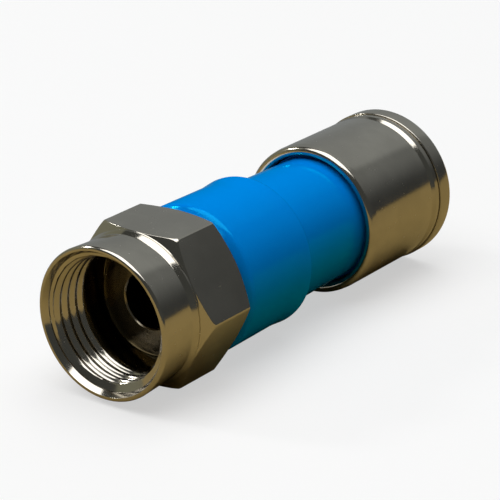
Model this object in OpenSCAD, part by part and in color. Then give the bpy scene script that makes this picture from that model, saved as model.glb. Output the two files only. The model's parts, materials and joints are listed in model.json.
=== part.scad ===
// Compression F connector for thin coaxial cable, as supplied and not yet squeezed.
// The axis lies along Y: the nut opens towards -Y and the cable enters from +Y.
// The origin is the centre of the post's flange face, where the port's end seats.
// Two of the nut's flats are level, as when the connector lies on a bench.
// Every piece is drawn standing along Z and then laid down. Millimetres.

/* [Nut] */
// Width across the flats
hex_af = 10.8; // [10.6:0.1:12]
// Length of the flats along their middle
hex_len = 4.8; // [4:0.05:6]
// Length of the cone that faces the front of the hexagon
hex_cone_len = 0.42; // [0.3:0.02:1.0]
// Length of the cone behind the hexagon
hex_back_chamfer = 0.5; // [0.2:0.05:0.7]
// How far the hexagon's sharp corners are turned down
hex_corner_break = 0.04; // [0.02:0.01:0.2]
// Diameter of the collar at the rim
collar_d = 10.84; // [10.6:0.02:11]
// Diameter of the collar's waist, near the hexagon
waist_d = 10.46; // [10.3:0.02:10.8]
// Rounding of the collar's front rim
rim_round = 0.2; // [0.1:0.05:0.25]
// Length of the ramp that climbs from the waist
ramp_len = 0.75; // [0.3:0.05:0.9]
// Rise of that ramp
ramp_rise = 0.25; // [0.1:0.05:0.3]
// Width of the groove between ramp and hexagon
junction_w = 0.25; // [0.15:0.05:0.4]
// Depth of that groove below the flats
junction_d = 0.04; // [0.02:0.01:0.1]
// From the rim to the flange face
socket_depth = 5.0; // [4.6:0.1:7]
// Outer diameter of the port's thread
thread_d = 9.525; // [9.4:0.025:9.6]
// Depth of the thread, in the radius
thread_depth = 0.41; // [0.35:0.01:0.45]
// Smooth length behind the rim
counterbore_len = 0.5; // [0.3:0.1:1.0]
// Radial room round the thread at the rim
counterbore_room = 0.09; // [0.05:0.01:0.12]
// Chamfer inside the rim
rim_chamfer = 0.1; // [0.05:0.01:0.12]
// Clear length between the thread and the flange face
relief_len = 1.4; // [0.8:0.05:1.6]
// Radial room round the thread behind it
relief_room = 0.14; // [0.05:0.01:0.2]
// Thickness of the inner lip that the flange pulls on
lip_t = 1.15; // [0.7:0.05:1.4]
// Radial clearance of the lip on the post
lip_clear = 0.1; // [0.05:0.01:0.2]
// Axial play between flange and lip
nut_play = 0.12; // [0.05:0.01:0.3]
// Axial gap between the nut and the body
nut_gap = 0.12; // [0.1:0.02:0.4]

/* [Post] */
// Bore, which takes the cable's insulated core
bore_d = 4.0; // [3.8:0.1:4.2]
// Chamfer at both ends of the bore
bore_chamfer = 0.1; // [0.05:0.05:0.3]
// Thickness of the flange
flange_t = 1.1; // [0.7:0.1:1.6]
// Rounding of the flange's front edge
flange_round = 0.3; // [0.1:0.05:0.4]
// Radial clearance of the flange inside the nut's thread
flange_clear = 0.25; // [0.15:0.01:0.3]
// Wall of the shank that carries the nut and the body
shank_wall = 1.3; // [1.15:0.05:1.4]
// Rings on the shank that bite into the body
bite_count = 4; // [2:1:6]
// Depth of the grooves between those rings
bite_depth = 0.2; // [0.1:0.05:0.3]
// Wall of the tail that slides under the cable's braid
tail_wall = 0.45; // [0.35:0.05:0.55]
// Length of the tail behind the shank
tail_len = 11.5; // [9:0.5:12]
// Length of the barb at the tail's end
barb_len = 1.8; // [1.2:0.1:2.6]
// Rise of the barb above the tail
barb_rise = 0.3; // [0.15:0.05:0.45]

/* [Seal ring] */
// Thickness of the rubber ring
ring_t = 1.2; // [0.8:0.05:1.3]
// Gap between the ring and what it seats on
ring_seat = 0.03; // [0.02:0.01:0.1]
// Gap between the ring and the turning nut
ring_gap = 0.1; // [0.05:0.01:0.2]
// Radial gap round the ring in the nut
ring_side_gap = 0.25; // [0.15:0.05:0.3]

/* [Body] */
// Diameter behind the nut
grip_d = 10.92; // [10.4:0.02:11.4]
// Length from the front face to the shoulder
grip_len = 7.8; // [6.5:0.1:10]
// How much the radius drops towards the bead
grip_draft = 0.06; // [0:0.01:0.15]
// Rounding of the front edge
grip_round = 1.5; // [0.4:0.1:1.5]
// Length over which the grip swells to its bead
bead_swell = 1.3; // [0.6:0.1:2]
// Rise of the bead
bead_rise = 0.12; // [0.05:0.01:0.25]
// Rounding of the bead's shoulder edge
bead_round = 0.3; // [0.1:0.05:0.4]
// Diameter of the neck at the shoulder
neck_d = 9.6; // [9.2:0.1:9.8]
// How much the neck's radius drops towards its end
neck_draft = 0.14; // [0.08:0.01:0.25]
// Length of the neck
neck_len = 8.9; // [8.6:0.1:10.5]
// Radial clearance of the neck's holding ridge inside the ferrule
ridge_clear = 0.06; // [0.03:0.01:0.1]
// Width of the holding ridge
ridge_w = 0.4; // [0.3:0.05:0.5]
// Chamfer round the neck's open end
neck_chamfer = 0.35; // [0.2:0.05:0.5]
// Length of the solid web that holds the post
web_len = 4.0; // [3:0.1:5]
// Bore that takes the cable's jacket
sleeve_d = 7.5; // [7:0.1:7.8]
// Radial gap between the web and the post
press_gap = 0.02; // [0.01:0.01:0.05]

/* [Ferrule] */
// Overall length
ferrule_len = 10.65; // [9.9:0.05:12]
// Radial clearance of the ferrule on the neck
ferrule_clear = 0.1; // [0.05:0.01:0.2]
// Wall of the ferrule
ferrule_wall = 0.75; // [0.7:0.05:0.9]
// Length of the neck held in the ferrule before squeezing
ferrule_hold = 1.6; // [1.4:0.1:2.2]
// Rounding of the mouth's outer edge
mouth_round = 0.3; // [0.1:0.05:0.35]
// Depth of the funnel in the mouth
funnel_len = 0.7; // [0.5:0.05:0.9]
// Rise of the funnel over the bore
funnel_rise = 0.38; // [0.2:0.02:0.4]
// Width of the band at the cable end
band_w = 1.45; // [0.8:0.05:1.6]
// Rise of that band
band_rise = 0.13; // [0.05:0.01:0.2]
// Rounding of the band's rear edge
band_round = 0.3; // [0.1:0.05:0.4]
// Rounding of the band's front edge
band_edge = 0.08; // [0.04:0.02:0.12]
// Depth of the step where the tube's turned surface ends
step_d = 0.16; // [0.08:0.01:0.25]
// Length of the ramp that climbs from that step
slope_len = 0.45; // [0.3:0.05:0.6]
// Width of the flat ridge on top of the ramp
crest_w = 0.4; // [0.2:0.05:0.6]
// Rise of that ridge above the tube
crest_rise = 0.04; // [0:0.01:0.08]
// Width of the fine groove between ridge and band
line_w = 0.15; // [0.1:0.01:0.25]
// Depth of that groove
line_d = 0.1; // [0.05:0.01:0.15]
// Thickness of the rear wall round the cable
rear_wall = 1.0; // [0.7:0.1:1.1]
// How much smaller the cable hole is than the jacket bore, in the radius
entry_step = 0.05; // [0:0.01:0.2]
// Chamfer of the cable hole
entry_chamfer = 0.2; // [0.1:0.05:0.3]
// Corner fillet inside the rear wall
rear_fillet = 0.3; // [0.1:0.05:0.35]

/* [Hidden] */
$fn = 96;
ARC_STEPS = 6;
CUT = 1;                                     // how far a cutting tool runs past a face

// Radii of the nut
thread_r = thread_d / 2;
thread_minor_r = thread_r - thread_depth;
counterbore_r = thread_r + counterbore_room;
relief_r = thread_r + relief_room;
flat_r = hex_af / 2;
corner_r = flat_r / cos(30) - hex_corner_break;
collar_r = collar_d / 2;
waist_r = waist_d / 2;

// Radii of the post and the ring
bore_r = bore_d / 2;
shank_r = bore_r + shank_wall;
tail_r = bore_r + tail_wall;
flange_r = thread_minor_r - flange_clear;
lip_r = shank_r + lip_clear;
ring_mid_r = shank_r + ring_seat + ring_t / 2;
recess_r = ring_mid_r + ring_t / 2 + ring_side_gap;

// Radii of the body and the ferrule
grip_r = grip_d / 2;
bead_r = grip_r - grip_draft + bead_rise;
neck_r = neck_d / 2;
neck_end_r = neck_r - neck_draft;
sleeve_r = sleeve_d / 2;
ferrule_bore_r = neck_r + ferrule_clear;
ferrule_r = ferrule_bore_r + ferrule_wall;
ridge_r = ferrule_bore_r - ridge_clear;
funnel_r = ferrule_bore_r + funnel_rise;
band_r = ferrule_r + band_rise;
entry_r = sleeve_r - entry_step;

// Places along the axis, counted from the flange face
nut_front = -socket_depth;
lip_front = flange_t + nut_play;
lip_back = lip_front + lip_t;
body_front = lip_back + ring_gap + ring_t + ring_seat;
nut_back = body_front - nut_gap;
hex_front = nut_back - hex_len;
ramp_back = hex_front - junction_w;
thread_front = nut_front + counterbore_len;
thread_back = -relief_len;
web_back = body_front + web_len;
shoulder = body_front + grip_len;
neck_back = shoulder + neck_len;
post_back = web_back + tail_len;
ferrule_front = neck_back - ferrule_hold;
ferrule_back = ferrule_front + ferrule_len;

// Points of a round of radius r about c, from angle a0 to a1
function round_pts(c, r, a0, a1) =
    [for (i = [0:ARC_STEPS]) let (a = a0 + (a1 - a0) * i / ARC_STEPS) c + r * [cos(a), sin(a)]];

// One turned piece, from its half section as [radius, height] points
module turned(section) rotate_extrude() polygon(section);

// Lays a piece that stands along Z down along Y
module laid() rotate([-90, 0, 0]) children();

// Coupling nut: a hexagon with a round threaded collar, held loosely behind the flange
module nut() color("silver") laid() difference() {
    union() {
        nut_collar();
        nut_hexagon();
    }
    nut_hole();
}

// The collar narrows to a waist, then climbs a ramp that ends at a fine groove
module nut_collar() turned(concat(
    [[0, nut_front]],
    round_pts([collar_r - rim_round, nut_front + rim_round], rim_round, -90, 0),
    [[waist_r, ramp_back - ramp_len],
     [waist_r + ramp_rise, ramp_back],
     [flat_r - junction_d, ramp_back + junction_w / 4],
     [flat_r - junction_d, hex_front + hex_cone_len],
     [0, hex_front + hex_cone_len]]));

// The hexagon's corners are turned down by a cone in front and one behind
module nut_hexagon() intersection() {
    translate([0, 0, hex_front]) cylinder(h = hex_len, r = flat_r / cos(30), $fn = 6);
    turned([
        [0, hex_front],
        [flat_r, hex_front],
        [corner_r, hex_front + hex_cone_len],
        [corner_r, nut_back - hex_back_chamfer],
        [flat_r, nut_back],
        [0, nut_back]]);
}

// From the rim: smooth counterbore, thread at its inner diameter, relief, lip, ring recess
module nut_hole() turned([
    [0, nut_front - CUT],
    [counterbore_r + rim_chamfer + CUT, nut_front - CUT],
    [counterbore_r, nut_front + rim_chamfer],
    [counterbore_r, thread_front],
    [thread_minor_r, thread_front + (counterbore_r - thread_minor_r) / 2],
    [thread_minor_r, thread_back],
    [relief_r, thread_back + (relief_r - thread_minor_r) / 2],
    [relief_r, lip_front],
    [lip_r, lip_front],
    [lip_r, lip_back],
    [recess_r, lip_back],
    [recess_r, nut_back + CUT],
    [0, nut_back + CUT]]);

// Post: a tube whose flange pulls the nut, whose shank bites into the body
// and whose barbed tail slides under the cable's braid
module post() color("lightgray") laid() difference() {
    turned(concat(
        [[0, 0]],
        round_pts([flange_r - flange_round, flange_round], flange_round, -90, 0),
        [[flange_r, flange_t],
         [shank_r, flange_t]],
        post_bites(),
        [[tail_r, web_back],
         [tail_r, post_back - barb_len],
         [tail_r + barb_rise, post_back - barb_len],
         [tail_r, post_back],
         [0, post_back]]));
    post_hole();
}

// Saw teeth round the shank, steep towards the flange, so that the body presses on
// from the tail and can't slide back off
function post_bites() =
    let (pitch = web_len / bite_count)
    [for (i = [0:bite_count - 1])
        each [[shank_r, body_front + i * pitch],
              [shank_r - bite_depth, body_front + (i + 1) * pitch]]];

module post_hole() turned([
    [0, -CUT],
    [bore_r + bore_chamfer + CUT, -CUT],
    [bore_r, bore_chamfer],
    [bore_r, post_back - bore_chamfer],
    [bore_r + bore_chamfer + CUT, post_back + CUT],
    [0, post_back + CUT]]);

// Rubber ring on the shank, in the recess behind the nut's lip
module seal_ring() color("black") laid()
    translate([0, 0, body_front - ring_seat - ring_t / 2])
        rotate_extrude() translate([ring_mid_r, 0]) circle(d = ring_t);

// Moulded body: a grip with a bead at its shoulder, and a thin neck for the ferrule
module body() color("dodgerblue") laid() difference() {
    turned(concat(
        [[0, body_front]],
        round_pts([grip_r - grip_round, body_front + grip_round], grip_round, -90, 0),
        [[grip_r - grip_draft, shoulder - bead_round - bead_swell]],
        round_pts([bead_r - bead_round, shoulder - bead_round], bead_round, 0, 90),
        [[neck_r, shoulder],
         [neck_end_r, ferrule_front + funnel_len],
         [ridge_r, neck_back - neck_chamfer - ridge_w],
         [ridge_r, neck_back - neck_chamfer],
         [ridge_r - neck_chamfer, neck_back],
         [0, neck_back]]));
    body_hole();
}

module body_hole() turned([
    [0, body_front - CUT],
    [shank_r + press_gap, body_front - CUT],
    [shank_r + press_gap, web_back],
    [sleeve_r, web_back],
    [sleeve_r, neck_back + CUT],
    [0, neck_back + CUT]]);

// Ferrule: a turned sleeve that is pressed forward over the neck, up to the shoulder
module ferrule() color("silver") laid() difference() {
    turned(concat(
        [[0, ferrule_front]],
        round_pts([ferrule_r - mouth_round, ferrule_front + mouth_round], mouth_round, -90, 0),
        ferrule_rear(),
        round_pts([band_r - band_round, ferrule_back - band_round], band_round, 0, 90),
        [[0, ferrule_back]]));
    ferrule_hole();
}

// Behind the tube's turned surface: a step, a ramp, a low ridge, a fine groove and the band
function ferrule_rear() = let (
    band_front = ferrule_back - band_w,
    ridge_back = band_front - line_w,
    ridge_front = ridge_back - crest_w,
    slope_front = ridge_front - slope_len,
    crest_r = ferrule_r + crest_rise
) concat(
    [[ferrule_r, slope_front - step_d / 3],
     [ferrule_r - step_d, slope_front],
     [crest_r, ridge_front],
     [crest_r, ridge_back],
     [crest_r - line_d, ridge_back + line_w / 3],
     [crest_r - line_d, band_front]],
    round_pts([band_r - band_edge, band_front + band_edge], band_edge, -90, 0));

module ferrule_hole() turned(concat(
    [[0, ferrule_front - CUT],
     [funnel_r, ferrule_front - CUT],
     [funnel_r, ferrule_front],
     [ferrule_bore_r, ferrule_front + funnel_len]],
    round_pts([ferrule_bore_r - rear_fillet, ferrule_back - rear_wall - rear_fillet],
        rear_fillet, 0, 90),
    [[entry_r, ferrule_back - rear_wall],
     [entry_r, ferrule_back - entry_chamfer],
     [entry_r + entry_chamfer + CUT, ferrule_back + CUT],
     [0, ferrule_back + CUT]]));

nut();
post();
seal_ring();
body();
ferrule();
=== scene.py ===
"""A compression F connector lying on a white floor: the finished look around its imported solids."""

import json
import math

import bmesh
import bpy
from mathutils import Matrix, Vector


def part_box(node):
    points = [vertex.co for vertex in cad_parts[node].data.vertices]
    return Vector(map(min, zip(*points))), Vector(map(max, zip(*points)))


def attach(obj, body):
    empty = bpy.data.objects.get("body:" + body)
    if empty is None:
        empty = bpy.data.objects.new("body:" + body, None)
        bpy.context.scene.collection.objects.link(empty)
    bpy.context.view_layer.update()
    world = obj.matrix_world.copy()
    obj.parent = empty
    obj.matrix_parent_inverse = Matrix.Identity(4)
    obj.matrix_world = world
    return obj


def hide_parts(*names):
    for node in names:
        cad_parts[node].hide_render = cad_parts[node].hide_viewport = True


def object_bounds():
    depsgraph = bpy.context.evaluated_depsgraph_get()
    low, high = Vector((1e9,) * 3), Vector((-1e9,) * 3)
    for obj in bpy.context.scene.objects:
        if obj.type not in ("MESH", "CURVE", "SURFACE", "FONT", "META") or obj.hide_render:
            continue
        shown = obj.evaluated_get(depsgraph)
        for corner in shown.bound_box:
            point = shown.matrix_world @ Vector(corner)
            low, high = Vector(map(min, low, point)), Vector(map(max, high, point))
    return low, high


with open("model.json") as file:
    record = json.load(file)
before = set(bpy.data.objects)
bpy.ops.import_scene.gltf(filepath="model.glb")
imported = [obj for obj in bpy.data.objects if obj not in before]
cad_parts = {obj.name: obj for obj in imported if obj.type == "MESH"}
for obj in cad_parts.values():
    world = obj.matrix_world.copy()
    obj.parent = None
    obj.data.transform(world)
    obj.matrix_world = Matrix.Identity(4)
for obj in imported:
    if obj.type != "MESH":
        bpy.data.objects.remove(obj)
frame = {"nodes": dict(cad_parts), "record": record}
solid_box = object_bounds()

# ---------------------------------------------------------------- sizes, in millimetres
MM = 0.001
MOUNTS = {mount["name"]: mount for mount in frame["record"]["mounts"]}


def span(node):
    """Lowest and highest corner of a node's solid, in millimetres."""
    low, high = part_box(node)
    return low / MM, high / MM


def wall(name):
    """Radius, front end and back end of a round mount's wall, in millimetres."""
    mount = MOUNTS[name]
    middle, half = mount["pos_m"][1] / MM, mount["dims"]["length_mm"] / 2
    return mount["dims"]["r_mm"], middle - half, middle + half


NUT_LOW, NUT_HIGH = span("nut")
POST_LOW, POST_HIGH = span("post")
BODY_LOW, BODY_HIGH = span("body")
FERRULE_LOW, FERRULE_HIGH = span("ferrule")

CRISP, BROKEN = 0.03, 0.05          # rounds of an edge that is only deburred, and of a broken one

# Nut
HALF_FLATS = MOUNTS["spanner_flat"]["pos_m"][2] / MM
CORNER_R = NUT_HIGH.x
NUT_FRONT, NUT_BACK = NUT_LOW.y, NUT_HIGH.y
COLLAR_R, RIM_ROUND, RIM_CHAMFER, RIM_CHAMFER_LEN = 5.42, 0.22, 0.24, 0.4
WAIST_R, WAIST_ROUND = 5.26, 0.35   # the concave round at the foot of the ramp
RAMP_LEN, RAMP_TOP_R, RAMP_EDGE = 0.45, NUT_HIGH.z, 0.06
HEX_FRONT = NUT_BACK - 4.8
JUNCTION_R, JUNCTION_W, JUNCTION_RISE = HALF_FLATS - 0.04, 0.25, 0.05   # groove before the hexagon
FRONT_CONE, REAR_CONE = 0.42, 0.5
HEX_EDGE, HEX_WEAR = 0.05, 0.3      # rounds of the hexagon's front edge, at a flat's middle and corner
MINOR_R, _, WALL_BACK = wall("port_thread")
PITCH, THREAD_START = 25.4 / 32, NUT_FRONT + 0.34   # 32 threads an inch
THREAD_DEPTH, MAJOR_R = 0.3, MINOR_R + 0.41
COUNTERBORE_R, COUNTERBORE_BACK = MAJOR_R + 0.09, NUT_FRONT + 0.5
RELIEF_R, RELIEF_ROUND = MAJOR_R + 0.14, 0.1
LEAD_SLOPE = 2                      # of the cones that lead in and out of the thread, radius by length
RELIEF_FRONT = WALL_BACK + (RELIEF_R - MINOR_R) / LEAD_SLOPE
LIP_FRONT, LIP_BACK, LIP_R, LIP_EDGE = 1.22, 2.37, 3.4, 0.08
RECESS_R = 4.78

# Post
BORE_R, BORE_FRONT, BORE_BACK = wall("dielectric_bore")
FLANGE_R, FLANGE_T, FLANGE_ROUND = POST_HIGH.x, 1.1, 0.3
SHANK_R, TAIL_R, BARB_R = 3.3, 2.45, 2.75
BITES, BITE_DEPTH, WEB_LEN, BARB_LEN = 4, 0.2, 4.0, 1.8

# Body
BODY_FRONT, BODY_BACK = BODY_LOW.y, BODY_HIGH.y
WEB_BORE_R, SLEEVE_R = SHANK_R + 0.02, 3.75
NOSE_R, NOSE_LEN, NOSE_ROUND = 4.3, 0.85, 0.2   # the cone at the body's front
GRIP_R, GRIP_ROUND, GRIP_END_R = 5.46, 0.45, 5.4
SHOULDER, SHOULDER_ROUND = BODY_FRONT + 7.8, 0.5
BEAD_R, BEAD_SWELL, BEAD_FOOT, BEAD_ROUND = BODY_HIGH.x, 1.3, 10, 0.3
NECK_R, NECK_END_R, NECK_FOOT = 4.8, 4.66, 0.12
RIDGE_R, RIDGE_W, NECK_CHAMFER = 4.84, 0.4, 0.35

# Ferrule
FERRULE_FRONT, FERRULE_BACK = FERRULE_LOW.y, FERRULE_HIGH.y
BAND_R, BAND_W, BAND_ROUND, BAND_EDGE = FERRULE_HIGH.x, 1.45, 0.3, 0.08
TUBE_R, TUBE_BORE_R = BAND_R - 0.13, 4.9
LIP_ROUND, LIP_DROP, LIP_LEN, LIP_BLEND = 0.34, 0.07, 0.75, 0.1
NECK_HELD = 0.7                     # how deep in the ferrule the neck is at its thinnest
STEP_D, STEP_EDGE, SLOPE_LEN = 0.16, 0.02, 0.45
CREST_R, CREST_W, CREST_ROUND = TUBE_R + 0.04, 0.4, 0.1
LINE_W, LINE_D = 0.15, 0.1
ENTRY_R, ENTRY_FRONT, ENTRY_BACK = wall("cable_entry")
ENTRY_EDGE, REAR_FILLET = 0.04, 0.3

# How finely the pieces are cut
CREASE = math.radians(18)           # edges that turn more than this stay sharp
ROUND_STEPS = 288                   # round a turned piece
EDGE_STEPS, SWEEP_STEPS, SWEEP = 6, 12, 0.5   # along a small round, and along one larger than SWEEP
FLAT_STEPS, BREAK_STEPS = 44, 3     # along a flat, and along a turned-down corner
THREAD_STEPS = 28                   # along one pitch
CREST_SHARE = 0.08                  # where on the pitch the crest lies


# ---------------------------------------------------------------- half sections and meshes
def rounded(corners):
    """Points of a half section; each corner is (radius, place, size of its round)."""
    count = len(corners)
    spots = [Vector(corner[:2]) for corner in corners]
    sizes = [corner[2] for corner in corners]
    sides = [spots[(k + 1) % count] - spots[k] for k in range(count)]
    turns = [sides[k - 1].angle(sides[k], 0.0) for k in range(count)]
    wants = [size * math.tan(turn / 2) for size, turn in zip(sizes, turns)]
    points = []
    for k in range(count):
        want, weight = wants[k], math.cos(turns[k] / 2)
        # two rounds that meet on one side share its length
        for side, other in ((sides[k - 1], wants[k - 1]), (sides[k], wants[(k + 1) % count])):
            if wants[k] + other > side.length:
                want = min(want, wants[k] * side.length / (wants[k] + other))
        start = spots[k] - sides[k - 1].normalized() * want
        end = spots[k] + sides[k].normalized() * want
        steps = 0 if not sizes[k] else SWEEP_STEPS if sizes[k] > SWEEP else EDGE_STEPS
        for i in range(steps + 1):
            t = i / steps if steps else 0.5
            near, mid, far = (1 - t) ** 2, 2 * t * (1 - t) * weight, t * t
            spot = (start * near + spots[k] * mid + end * far) / (near + mid + far)
            points.append((spot.x, spot.y))
    return points


def make_piece(name, vertices, faces, body, node, slot, material):
    """A smooth-shaded mesh, with its creases kept, that stands for one solid."""
    mesh = bpy.data.meshes.new(name)
    mesh.from_pydata([Vector(v) * MM for v in vertices], [], faces)
    shape = bmesh.new()
    shape.from_mesh(mesh)
    bmesh.ops.remove_doubles(shape, verts=shape.verts, dist=1e-7)
    bmesh.ops.dissolve_degenerate(shape, edges=shape.edges, dist=1e-7)
    bmesh.ops.recalc_face_normals(shape, faces=shape.faces)
    for face in shape.faces:
        face.smooth = True
    for edge in shape.edges:
        edge.smooth = edge.calc_face_angle(0.0) < CREASE
    shape.to_mesh(mesh)
    shape.free()
    piece = bpy.data.objects.new(name, mesh)
    bpy.context.scene.collection.objects.link(piece)
    mesh.materials.append(material)
    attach(piece, body)
    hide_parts(node)


def around(angle, radius, place):
    """The point at that radius and angle from the top, at that place along the axis."""
    return radius * math.sin(angle), place, radius * math.cos(angle)


def turned(section):
    """Vertices and faces of a closed half section turned about the axis."""
    count = len(section)
    vertices, faces = [], []
    for s in range(ROUND_STEPS):
        vertices += [around(math.tau * s / ROUND_STEPS, radius, place) for radius, place in section]
        here, there = s * count, (s + 1) % ROUND_STEPS * count
        for k in range(count):
            after = (k + 1) % count
            faces.append((here + k, here + after, there + after, there + k))
    return vertices, faces


# ---------------------------------------------------------------- nut
def nut_angles():
    """Angles round the nut, with the ends of every flat among them."""
    half = math.acos(HALF_FLATS / CORNER_R)
    gap = math.pi / 3 - 2 * half
    angles = []
    for flat in range(6):
        middle = flat * math.pi / 3
        angles += [middle + half * (2 * i / FLAT_STEPS - 1) for i in range(FLAT_STEPS)]
        angles += [middle + half + gap * i / BREAK_STEPS for i in range(BREAK_STEPS)]
    return angles


def hexagon_radius(angle):
    """Distance from the axis to the hexagon, whose corners are turned down."""
    off_flat = (angle + math.pi / 6) % (math.pi / 3) - math.pi / 6
    return min(HALF_FLATS / math.cos(off_flat), CORNER_R)


def nut_column(angle):
    """Half section of the nut at one angle, from the counterbore round the outside to the relief."""
    out = hexagon_radius(angle)
    rise = (out - HALF_FLATS) / (CORNER_R - HALF_FLATS)
    ramp_back = HEX_FRONT - JUNCTION_W
    return rounded([
        (COUNTERBORE_R, COUNTERBORE_BACK, 0),
        (COUNTERBORE_R, NUT_FRONT + RIM_CHAMFER_LEN, CRISP),
        (COUNTERBORE_R + RIM_CHAMFER, NUT_FRONT, CRISP),
        (COLLAR_R, NUT_FRONT, RIM_ROUND),
        (WAIST_R, ramp_back - RAMP_LEN, WAIST_ROUND),
        (RAMP_TOP_R, ramp_back, RAMP_EDGE),
        (JUNCTION_R, ramp_back + JUNCTION_W / 4, 0),
        (JUNCTION_R, HEX_FRONT - JUNCTION_RISE, 0),
        (HALF_FLATS, HEX_FRONT, 0),
        (out, HEX_FRONT + FRONT_CONE * rise, HEX_EDGE + HEX_WEAR * rise ** 6),
        (out, NUT_BACK - REAR_CONE * rise, HEX_EDGE),
        (HALF_FLATS, NUT_BACK, 0),
        (RECESS_R, NUT_BACK, BROKEN),
        (RECESS_R, LIP_BACK, 0),
        (LIP_R, LIP_BACK, LIP_EDGE),
        (LIP_R, LIP_FRONT, LIP_EDGE),
        (RELIEF_R, LIP_FRONT, RELIEF_ROUND),
        (RELIEF_R, RELIEF_FRONT, 0),
    ])


def thread_radius(share):
    """Radius of the thread's surface at a share of the pitch, with round crests and roots."""
    rise = 0.5 - 0.5 * math.cos(math.tau * (share - CREST_SHARE))
    return MINOR_R + THREAD_DEPTH * rise


def thread_column(angle):
    """Thread surface at one angle, front to back; it climbs one pitch a turn to the right."""
    count = math.ceil((RELIEF_FRONT - THREAD_START) / PITCH + 1) * THREAD_STEPS
    points = []
    for k in range(count + 1):
        place = THREAD_START - PITCH + PITCH * (k / THREAD_STEPS + angle / math.tau)
        place = min(max(place, COUNTERBORE_BACK), RELIEF_FRONT)
        lead_in = COUNTERBORE_R - LEAD_SLOPE * (place - COUNTERBORE_BACK)
        lead_out = RELIEF_R - LEAD_SLOPE * (RELIEF_FRONT - place)
        points.append((max(thread_radius(k / THREAD_STEPS), lead_in, lead_out), place))
    return points


def build_nut():
    """The whole nut as one grid of columns; the thread's rows step one pitch at the seam."""
    angles = nut_angles()
    vertices, plain, threads = [], [], []
    for angle in angles:
        for rows, column in ((plain, nut_column(angle)), (threads, thread_column(angle % math.tau))):
            rows.append(range(len(vertices), len(vertices) + len(column)))
            vertices += [around(angle, radius, place) for radius, place in column]
    faces = []
    for a, angle in enumerate(angles):
        b = (a + 1) % len(angles)
        wraps = angles[b] % math.tau < angle % math.tau
        shift = THREAD_STEPS if wraps else 0
        here, there = plain[a], plain[b]
        for k in range(len(here) - 1):
            faces.append((here[k], here[k + 1], there[k + 1], there[k]))
        first, second = threads[a], threads[b]
        for k in range(len(first) - 1 - shift):
            faces.append((first[k], first[k + 1], second[k + 1 + shift], second[k + shift]))
        # the counterbore and the relief close the loop at both ends of the thread
        faces.append((first[0], second[shift], there[0], here[0]))
        faces.append((here[-1], there[-1], second[-1], first[-1 - shift]))
    return vertices, faces


# ---------------------------------------------------------------- turned pieces
def post_section():
    """Post: the bore, the flange, a shank with biting rings and a thin tail with its barb."""
    bites = []
    for i in range(BITES):
        bites.append((SHANK_R, BODY_FRONT + i * WEB_LEN / BITES, 0))
        bites.append((SHANK_R - BITE_DEPTH, BODY_FRONT + (i + 1) * WEB_LEN / BITES, 0))
    chamfer = BORE_FRONT - POST_LOW.y
    barb_front = POST_HIGH.y - BARB_LEN
    return rounded([
        (BORE_R, BORE_FRONT, CRISP),
        (BORE_R + chamfer, POST_LOW.y, CRISP),
        (FLANGE_R, POST_LOW.y, FLANGE_ROUND),
        (FLANGE_R, FLANGE_T, BROKEN),
        (SHANK_R, FLANGE_T, 0),
        *bites,
        (TAIL_R, BODY_FRONT + WEB_LEN, 0),
        (TAIL_R, barb_front, 0),
        (BARB_R, barb_front, BROKEN),
        (TAIL_R, POST_HIGH.y, CRISP),
        (BORE_R + chamfer, POST_HIGH.y, CRISP),
        (BORE_R, BORE_BACK, CRISP),
    ])


def body_section():
    """Body: the web round the shank, the nose, the grip and its bead, the neck and the sleeve."""
    ridge_back = BODY_BACK - NECK_CHAMFER
    web_back = BODY_FRONT + WEB_LEN
    bead_front = SHOULDER - BEAD_ROUND
    return rounded([
        (WEB_BORE_R, BODY_FRONT, 0),
        (NOSE_R, BODY_FRONT, NOSE_ROUND),
        (GRIP_R, BODY_FRONT + NOSE_LEN, GRIP_ROUND),
        (GRIP_END_R, bead_front - BEAD_SWELL, BEAD_FOOT),
        (BEAD_R, bead_front, BEAD_ROUND),
        (BEAD_R, SHOULDER, SHOULDER_ROUND),
        (NECK_R, SHOULDER, NECK_FOOT),
        (NECK_END_R, FERRULE_FRONT + NECK_HELD, 0),
        (RIDGE_R, ridge_back - RIDGE_W, CRISP),
        (RIDGE_R, ridge_back, CRISP),
        (RIDGE_R - NECK_CHAMFER, BODY_BACK, BROKEN),
        (SLEEVE_R, BODY_BACK, BROKEN),
        (SLEEVE_R, web_back, 0),
        (WEB_BORE_R, web_back, 0),
    ])


def ferrule_section():
    """Ferrule: the round lip, the tube, a step and a crest, the scored line, the band and the entry."""
    band_front = FERRULE_BACK - BAND_W
    crest_back = band_front - LINE_W
    crest_front = crest_back - CREST_W
    step = crest_front - SLOPE_LEN
    return rounded([
        (TUBE_BORE_R, FERRULE_FRONT, LIP_ROUND),
        (TUBE_R - LIP_DROP, FERRULE_FRONT, LIP_ROUND),
        (TUBE_R, FERRULE_FRONT + LIP_LEN, LIP_BLEND),
        (TUBE_R, step - STEP_D / 3, STEP_EDGE),
        (TUBE_R - STEP_D, step, STEP_EDGE),
        (CREST_R, crest_front, CREST_ROUND),
        (CREST_R, crest_back, CRISP),
        (CREST_R - LINE_D, crest_back + LINE_W / 3, 0),
        (CREST_R - LINE_D, band_front, 0),
        (BAND_R, band_front, BAND_EDGE),
        (BAND_R, FERRULE_BACK, BAND_ROUND),
        (ENTRY_R + FERRULE_BACK - ENTRY_BACK, FERRULE_BACK, ENTRY_EDGE),
        (ENTRY_R, ENTRY_BACK, ENTRY_EDGE),
        (ENTRY_R, ENTRY_FRONT, ENTRY_EDGE),
        (TUBE_BORE_R, ENTRY_FRONT, REAR_FILLET),
    ])


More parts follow.
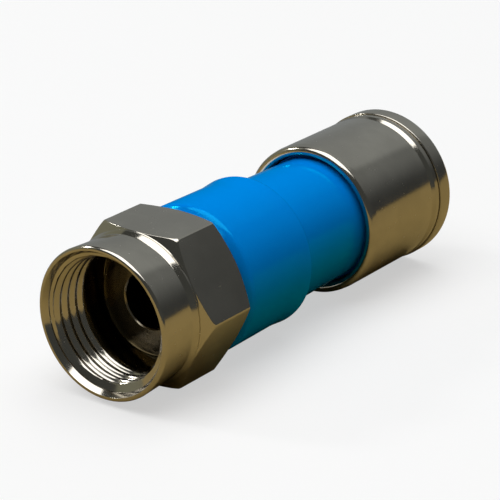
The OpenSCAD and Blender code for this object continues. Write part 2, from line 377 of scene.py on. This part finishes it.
# ---------------------------------------------------------------- shader formulas
class Value:
    """A shader output that can be used in a formula."""

    def __init__(self, finish, socket):
        self.finish, self.socket = finish, socket

    def math(self, operation, *terms):
        return self.finish.node("ShaderNodeMath", {"operation": operation}, *terms)

    def __add__(self, other):
        return self.math("ADD", self, other)

    def __sub__(self, other):
        return self.math("SUBTRACT", self, other)

    def __rsub__(self, other):
        return self.math("SUBTRACT", other, self)

    def __mul__(self, other):
        return self.math("MULTIPLY", self, other)

    def __truediv__(self, other):
        return self.math("DIVIDE", self, other)

    __radd__, __rmul__ = __add__, __mul__


class Finish:
    """A material or world under construction."""

    def __init__(self, owner):
        owner.use_nodes = True
        self.owner, self.tree = owner, owner.node_tree
        self.tree.nodes.clear()

    def node(self, kind, settings, *values, out=0, **named):
        """Adds a node with its settings, then its inputs by place or by name."""
        made = self.tree.nodes.new(kind)
        for name, setting in settings.items():
            setattr(made, name, setting)
        for socket, value in zip(made.inputs, values):
            self.feed(socket, value)
        for title, value in named.items():
            self.feed(self.pick(made.inputs, title.replace("_", " ")), value)
        return Value(self, self.pick(made.outputs, out)) if made.outputs else None

    @staticmethod
    def pick(sockets, title):
        """The socket in use with that title, or the first one when there is no title."""
        return next(s for s in sockets if s.enabled and title in (0, s.name))

    def feed(self, socket, value):
        """Links a shader output to the socket, or sets the socket's own constant."""
        if isinstance(value, Value):
            self.tree.links.new(value.socket, socket)
        else:
            socket.default_value = value

    def end(self, kind, shader):
        self.node(kind, {}, shader)
        return self.owner


def new_finish(name):
    return Finish(bpy.data.materials.new(name))


def object_place(finish):
    """The place on the object, in metres, and its three coordinates."""
    place = finish.node("ShaderNodeTexCoord", {}, out="Object")
    split = finish.node("ShaderNodeSeparateXYZ", {}, place).socket.node
    return place, *(Value(finish, output) for output in split.outputs)


def axis_places(finish):
    """The place, then radius and distance along the axis in millimetres, and angle in turns."""
    place, x, y, z = object_place(finish)
    x, y, z = x / MM, y / MM, z / MM
    return place, x.math("SQRT", x * x + z * z), y, x.math("ARCTAN2", x, z) / math.tau


def combined(finish, *parts):
    """A vector of three shader outputs."""
    return finish.node("ShaderNodeCombineXYZ", {}, *parts)


def noise(finish, vector, scale, detail, roughness):
    return finish.node(
        "ShaderNodeTexNoise", {}, Vector=vector, Scale=scale, Detail=detail, Roughness=roughness, out="Fac"
    )


def soft_step(finish, value, low, high):
    """0 below low, 1 above high, smooth between."""
    return finish.node(
        "ShaderNodeMapRange", {"interpolation_type": "SMOOTHSTEP"}, value, low, high, 0.0, 1.0
    )


def blend(finish, share, first, second):
    """The first colour where the share is 0, the second where it is 1."""
    return finish.node(
        "ShaderNodeMix", {"data_type": "RGBA"}, Factor=share, A=first, B=second, out="Result"
    )


def bump(finish, height, strength, depth):
    """A relief as deep as that, in millimetres, where the height is 1."""
    return finish.node(
        "ShaderNodeBump", {}, Strength=strength, Distance=depth * MM, Height=height, out="Normal"
    )


# ---------------------------------------------------------------- finishes
NICKEL = (0.52, 0.49, 0.43)
POST_NICKEL = (0.27, 0.24, 0.18)
# painted shade: the darker colour the nickel takes deep in the bores
PAINTED_SHADE_NICKEL = (0.27, 0.235, 0.155)
PAINTED_SHADE_EDGE, PAINTED_SHADE_DEPTH = 0.3, 0.06   # how softly the painted shade in the bores ends along the axis and outwards
BLUE, LIGHT_BLUE = (0.0, 0.235, 0.83), (0.0, 0.265, 0.9)
BLUE_GLOSS, GRAZING_GLOSS = (0.02, 0.78, 1.0), (0.02, 0.7, 1.0)
RUBBER, LIGHT_RUBBER = (0.012, 0.012, 0.012), (0.03, 0.03, 0.03)


def nickel(name, colour, lathe_lines, roughness, shaded_inside):
    """Bright nickel plate with lathe lines, faint handling scratches and a few pits.

    The colour darkens in the bores as painted shade: below a radius, between two places along the axis.
    """
    finish = new_finish(name)
    place, radius, along, angle = axis_places(finish)
    across = combined(finish, along, radius, angle * 3.0)
    lines = noise(finish, across, scale=14.0, detail=3.0, roughness=0.7)
    lengthwise = combined(finish, along * 0.15, radius * 2.0, angle * 120.0)
    rubs = soft_step(finish, noise(finish, lengthwise, scale=2.2, detail=3.0, roughness=0.65), 0.62, 0.74)
    clouds = noise(finish, place, scale=260.0, detail=4.0, roughness=0.6)
    specks = noise(finish, place, scale=3400.0, detail=1.0, roughness=0.4)
    pits = soft_step(finish, specks, 0.74, 0.8)
    bright = blend(
        finish, soft_step(finish, clouds, 0.35, 0.65),
        (*[c * 0.93 for c in colour], 1), (*[c * 1.05 for c in colour], 1),
    )
    wall_r, front, back = shaded_inside
    past_front = soft_step(finish, along, front, front + PAINTED_SHADE_EDGE)
    past_back = soft_step(finish, along, back - PAINTED_SHADE_EDGE, back)
    past_wall = soft_step(finish, radius, wall_r, wall_r + PAINTED_SHADE_DEPTH)
    # random cloudy tone, and painted shade that darkens the nickel in the bores
    tone_and_painted_shade = blend(finish, past_front * (1 - past_back) * (1 - past_wall), bright, (*PAINTED_SHADE_NICKEL, 1))
    height = lines * lathe_lines + clouds * 0.25 - pits * 0.5 - rubs * 0.06
    relief = bump(finish, height, strength=0.12, depth=0.02)
    shader = finish.node(
        "ShaderNodeBsdfPrincipled", {}, Base_Color=tone_and_painted_shade, Metallic=1.0,
        Roughness=roughness + clouds * 0.05 + rubs * 0.05 + pits * 0.2, Normal=relief,
    )
    return finish.end("ShaderNodeOutputMaterial", shader)


def blue_plastic(name):
    """Glossy moulded plastic with a faint flow pattern and fine handling marks."""
    finish = new_finish(name)
    place, radius, along, angle = axis_places(finish)
    flow = noise(finish, place, scale=170.0, detail=3.0, roughness=0.55)
    grain = noise(finish, place, scale=5200.0, detail=2.0, roughness=0.5)
    lengthwise = combined(finish, along * 0.2, radius, angle * 60.0)
    rubs = soft_step(finish, noise(finish, lengthwise, scale=2.0, detail=3.0, roughness=0.6), 0.63, 0.72)
    relief = bump(finish, flow * 0.8 + grain * 0.25 - rubs * 0.1, strength=0.1, depth=0.03)
    roughness = 0.24 + flow * 0.1 + rubs * 0.06
    depth = finish.node(
        "ShaderNodeBsdfPrincipled", {}, Base_Color=blend(finish, flow, (*BLUE, 1), (*LIGHT_BLUE, 1)),
        Roughness=roughness, Specular_IOR_Level=0.0, Normal=relief,
    )
    gloss = finish.node(
        "ShaderNodeBsdfPrincipled", {}, Base_Color=(*BLUE_GLOSS, 1), Metallic=1.0,
        Roughness=roughness - 0.15, Specular_Tint=(*GRAZING_GLOSS, 1), Normal=relief,
    )
    shine = finish.node("ShaderNodeFresnel", {}, IOR=1.7)
    return finish.end("ShaderNodeOutputMaterial", finish.node("ShaderNodeMixShader", {}, shine, depth, gloss))


def black_rubber(name):
    """Matt rubber with a fine grain."""
    finish = new_finish(name)
    place = finish.node("ShaderNodeTexCoord", {}, out="Object")
    grain = noise(finish, place, scale=2600.0, detail=2.0, roughness=0.5)
    shader = finish.node(
        "ShaderNodeBsdfPrincipled", {}, Base_Color=blend(finish, grain, (*RUBBER, 1), (*LIGHT_RUBBER, 1)),
        Roughness=0.55 + grain * 0.15, Normal=bump(finish, grain, strength=0.3, depth=0.03),
    )
    return finish.end("ShaderNodeOutputMaterial", shader)


# ---------------------------------------------------------------- the connector
# where each piece's nickel darkens as painted shade: below a radius, between a front and a back, in
# millimetres
nut_shaded_inside = (RELIEF_R + 0.02, WALL_BACK - 0.15, LIP_BACK)
post_shaded_inside = (BORE_R + 0.02, BORE_FRONT, POST_HIGH.y)
ferrule_shaded_inside = (TUBE_BORE_R + 0.02, FERRULE_FRONT + 0.1, FERRULE_BACK - 1.2)
plate = nickel("nickel_plate", NICKEL, lathe_lines=0.35, roughness=0.1, shaded_inside=nut_shaded_inside)
turned_plate = nickel("turned_nickel", NICKEL, lathe_lines=0.6, roughness=0.12, shaded_inside=ferrule_shaded_inside)
post_plate = nickel("post_nickel", POST_NICKEL, lathe_lines=0.3, roughness=0.18, shaded_inside=post_shaded_inside)
plastic = blue_plastic("blue_plastic")

make_piece("coupling_nut", *build_nut(), "nut", "nut", "nut_nickel", plate)
make_piece("contact_post", *turned(post_section()), "shell", "post", "post_nickel", post_plate)
make_piece("blue_body", *turned(body_section()), "shell", "body", "body_blue", plastic)
make_piece("crimp_ferrule", *turned(ferrule_section()), "ferrule", "ferrule", "ferrule_nickel", turned_plate)

ring = frame["nodes"]["seal_ring"]
ring.data.materials.clear()
ring.data.materials.append(black_rubber("black_rubber"))


# ---------------------------------------------------------------- floor, cards and lamps, in metres
FLOOR, GAP = solid_box[0][2], 0.02 * MM
ROOM = 3.0                          # how far the floor reaches to each side
SIDE_X, WALL_Y = 2.0, 1.5
CARDS_BACK = 1.6                    # the side cards and the ceiling end here, behind the wall
WALL_TOP, CEILING = 3.0, 2.6
BROWN_EDGE, GREY_EDGE = -4 * MM, -25 * MM   # sideways ends of the two mats behind the flange face
WALL_START = 0.8
WALL_CHANGES = (                    # of the wall's light, by angle from overhead: from, to, how much
    (math.radians(-75), math.radians(-25), 0.2),
    (math.radians(12), math.radians(24), -0.4),
    (math.radians(30), math.radians(80), -0.44),
)
RAYS = ("camera", "diffuse", "glossy", "transmission", "shadow")


def level(x0, y0, x1, y1, z):
    """Corners of a level rectangle."""
    return [(x0, y0, z), (x1, y0, z), (x1, y1, z), (x0, y1, z)]


def upright(x0, y0, x1, y1, top):
    """Corners of an upright rectangle that stands on the floor."""
    return [(x0, y0, FLOOR), (x1, y1, FLOOR), (x1, y1, top), (x0, y0, top)]


def sheet(name, corners, material, *seen_by):
    """A flat sheet that is shown only to the rays that are named."""
    mesh = bpy.data.meshes.new(name)
    mesh.from_pydata(corners, [], [tuple(range(len(corners)))])
    made = bpy.data.objects.new(name, mesh)
    bpy.context.scene.collection.objects.link(made)
    mesh.materials.append(material)
    for ray in RAYS:
        setattr(made, f"visible_{ray}", ray in seen_by)


def background_rays(finish):
    """1 for the rays that show the white background: seen straight, in gloss or through glass."""
    path = finish.node("ShaderNodeLightPath", {}).socket.node
    straight, gloss, glass = (
        Value(finish, path.outputs[title])
        for title in ("Is Camera Ray", "Is Glossy Ray", "Is Transmission Ray")
    )
    seen = straight + gloss + glass
    return seen.math("MINIMUM", seen, 1.0)


def white_paper(name, own_light):
    """Matt paper, part of whose white doesn't depend on the lamps."""
    finish = new_finish(name)
    paper = finish.node("ShaderNodeBsdfPrincipled", {}, Base_Color=(0.93, 0.93, 0.93, 1), Roughness=0.9)
    glow = finish.node("ShaderNodeEmission", {}, Color=(1, 1, 1, 1), Strength=1.0)
    shader = finish.node("ShaderNodeMixShader", {}, background_rays(finish) * own_light, paper, glow)
    return finish.end("ShaderNodeOutputMaterial", shader)


def matt(name, colour):
    """Matt card of one colour."""
    finish = new_finish(name)
    shader = finish.node("ShaderNodeBsdfPrincipled", {}, Base_Color=(*colour, 1), Roughness=0.9)
    return finish.end("ShaderNodeOutputMaterial", shader)


def glowing(name, colour, strength, changes=()):
    """An even light, or one that changes with the angle from overhead, towards +X."""
    finish = new_finish(name)
    if changes:
        _, x, _, z = object_place(finish)
        turn = x.math("ARCTAN2", x, z)
        share = WALL_START
        for low, high, change in changes:
            share = share + change * soft_step(finish, turn, low, high)
        strength = strength * share
    shader = finish.node("ShaderNodeEmission", {}, Color=(*colour, 1), Strength=strength)
    return finish.end("ShaderNodeOutputMaterial", shader)


def lamp(name, place, width, depth, watts, turn=None):
    """A soft rectangular lamp, level and turned about the vertical, or else facing the connector."""
    data = bpy.data.lights.new(name, "AREA")
    data.shape = "RECTANGLE"
    data.size, data.size_y = width, depth
    data.energy = watts
    made = bpy.data.objects.new(name, data)
    made.location = place
    made.rotation_euler = Vector(place).to_track_quat("Z", "Y").to_euler() if turn is None else (0, 0, turn)
    bpy.context.scene.collection.objects.link(made)


paper = white_paper("white_paper", own_light=0.55)
sheet("white_floor", level(-ROOM, -ROOM, ROOM, ROOM, FLOOR - GAP), paper, "camera", "glossy", "transmission")

# cards out of the camera's view, which the gloss of the metal and the plastic shows
brown = matt("brown_card", (0.37, 0.265, 0.09))
grey = glowing("grey_card", (0.95, 1.0, 1.0), strength=0.26)
dark = glowing("dark_card", (0.95, 1.0, 0.95), strength=0.07)
olive = glowing("olive_card", (1.0, 1.0, 0.75), strength=0.25)
fading = glowing("fading_card", (0.95, 1.0, 1.0), strength=0.35, changes=WALL_CHANGES)
sheet("table", level(-ROOM, -ROOM, ROOM, ROOM, FLOOR - 2 * GAP), brown, "diffuse")
sheet("brown_mat", level(BROWN_EDGE, 0, ROOM, ROOM, FLOOR), brown, "glossy")
sheet("front_mat", level(-ROOM, -ROOM, ROOM, 0, FLOOR), brown, "glossy")
sheet("grey_mat", level(-ROOM, 0, GREY_EDGE, ROOM, FLOOR), grey, "glossy")
sheet("grey_wall", upright(-ROOM, WALL_Y, ROOM, WALL_Y, WALL_TOP), fading, "diffuse", "glossy")
sheet("dark_side", upright(SIDE_X, -ROOM, SIDE_X, CARDS_BACK, WALL_TOP), dark, "glossy")
sheet("dark_front", upright(-ROOM, -ROOM, SIDE_X, -ROOM, WALL_TOP), dark, "glossy")
sheet("olive_side", upright(-ROOM, -ROOM, -ROOM, CARDS_BACK, WALL_TOP), olive, "glossy")
sheet("dark_ceiling", level(-ROOM, -ROOM, ROOM, CARDS_BACK, CEILING), dark, "glossy")

lamp("ceiling_lamp", (-0.11, -0.2, 1.0), width=1.0, depth=1.5, watts=12.2, turn=math.radians(-25))
lamp("spot", (-0.94, -0.36, 0.66), width=0.15, depth=0.15, watts=1.9)

world = bpy.data.worlds.new("room")
bpy.context.scene.world = world
sky = Finish(world)
dim = sky.node("ShaderNodeBackground", {}, Color=(0.95, 1.0, 0.98, 1), Strength=0.075)
white = sky.node("ShaderNodeBackground", {}, Color=(1, 1, 1, 1), Strength=1.0)
sky.end("ShaderNodeOutputWorld", sky.node("ShaderNodeMixShader", {}, background_rays(sky), dim, white))

# ---------------------------------------------------------------- camera
AZIMUTH, ELEVATION, DISTANCE = math.radians(36.15), math.radians(21.57), 157.17 * MM
AIM = Vector((-0.5, 0, -0.33)) * MM   # from the middle of the connector
LENS, SENSOR = 158.4, 36
NEAREST, FARTHEST = 0.01, 50

camera_data = bpy.data.cameras.new("camera")
camera_data.lens, camera_data.sensor_width = LENS, SENSOR
camera_data.clip_start, camera_data.clip_end = NEAREST, FARTHEST
camera = bpy.data.objects.new("camera", camera_data)
bpy.context.scene.collection.objects.link(camera)
bpy.context.scene.camera = camera
middle = (Vector(solid_box[0]) + Vector(solid_box[1])) / 2
back = Vector((
    math.sin(AZIMUTH) * math.cos(ELEVATION), -math.cos(AZIMUTH) * math.cos(ELEVATION), math.sin(ELEVATION)
))
camera.location = middle + AIM + back * DISTANCE
camera.rotation_euler = back.to_track_quat("Z", "Y").to_euler()

bpy.context.scene.view_settings.view_transform = "Standard"
